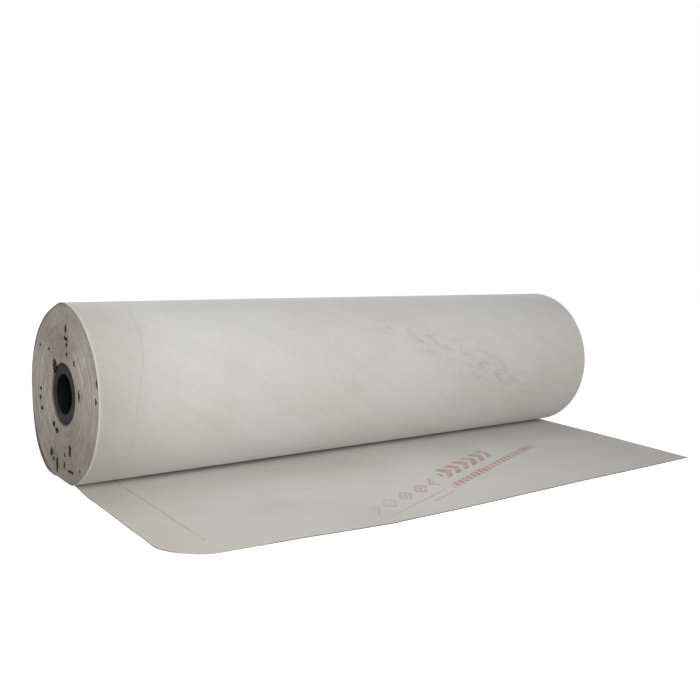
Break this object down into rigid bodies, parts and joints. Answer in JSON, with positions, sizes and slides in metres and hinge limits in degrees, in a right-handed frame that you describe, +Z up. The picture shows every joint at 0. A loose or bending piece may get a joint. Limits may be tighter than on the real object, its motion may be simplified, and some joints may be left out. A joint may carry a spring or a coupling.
{
  "type": "roll of roofing felt",
  "caption": "Roll of roofing felt lying on its side, wound on a thick tube, with the free end of the sheet laid out flat in front.",
  "frame": {"origin": "on the floor, straight below the middle of the roll's axis, where the roll presses on its own free end", "axes": "+X along the roll's axis, +Z up, and the free end of the sheet lies along -Y"},
  "size_m": [1, 0.508, 0.26],
  "materials": {
    "felt": "matte",
    "tube": "matte"
  },
  "bodies": {
    "root": {"felt_sheet": "felt", "core_tube": "tube"}
  },
  "joints": []
}
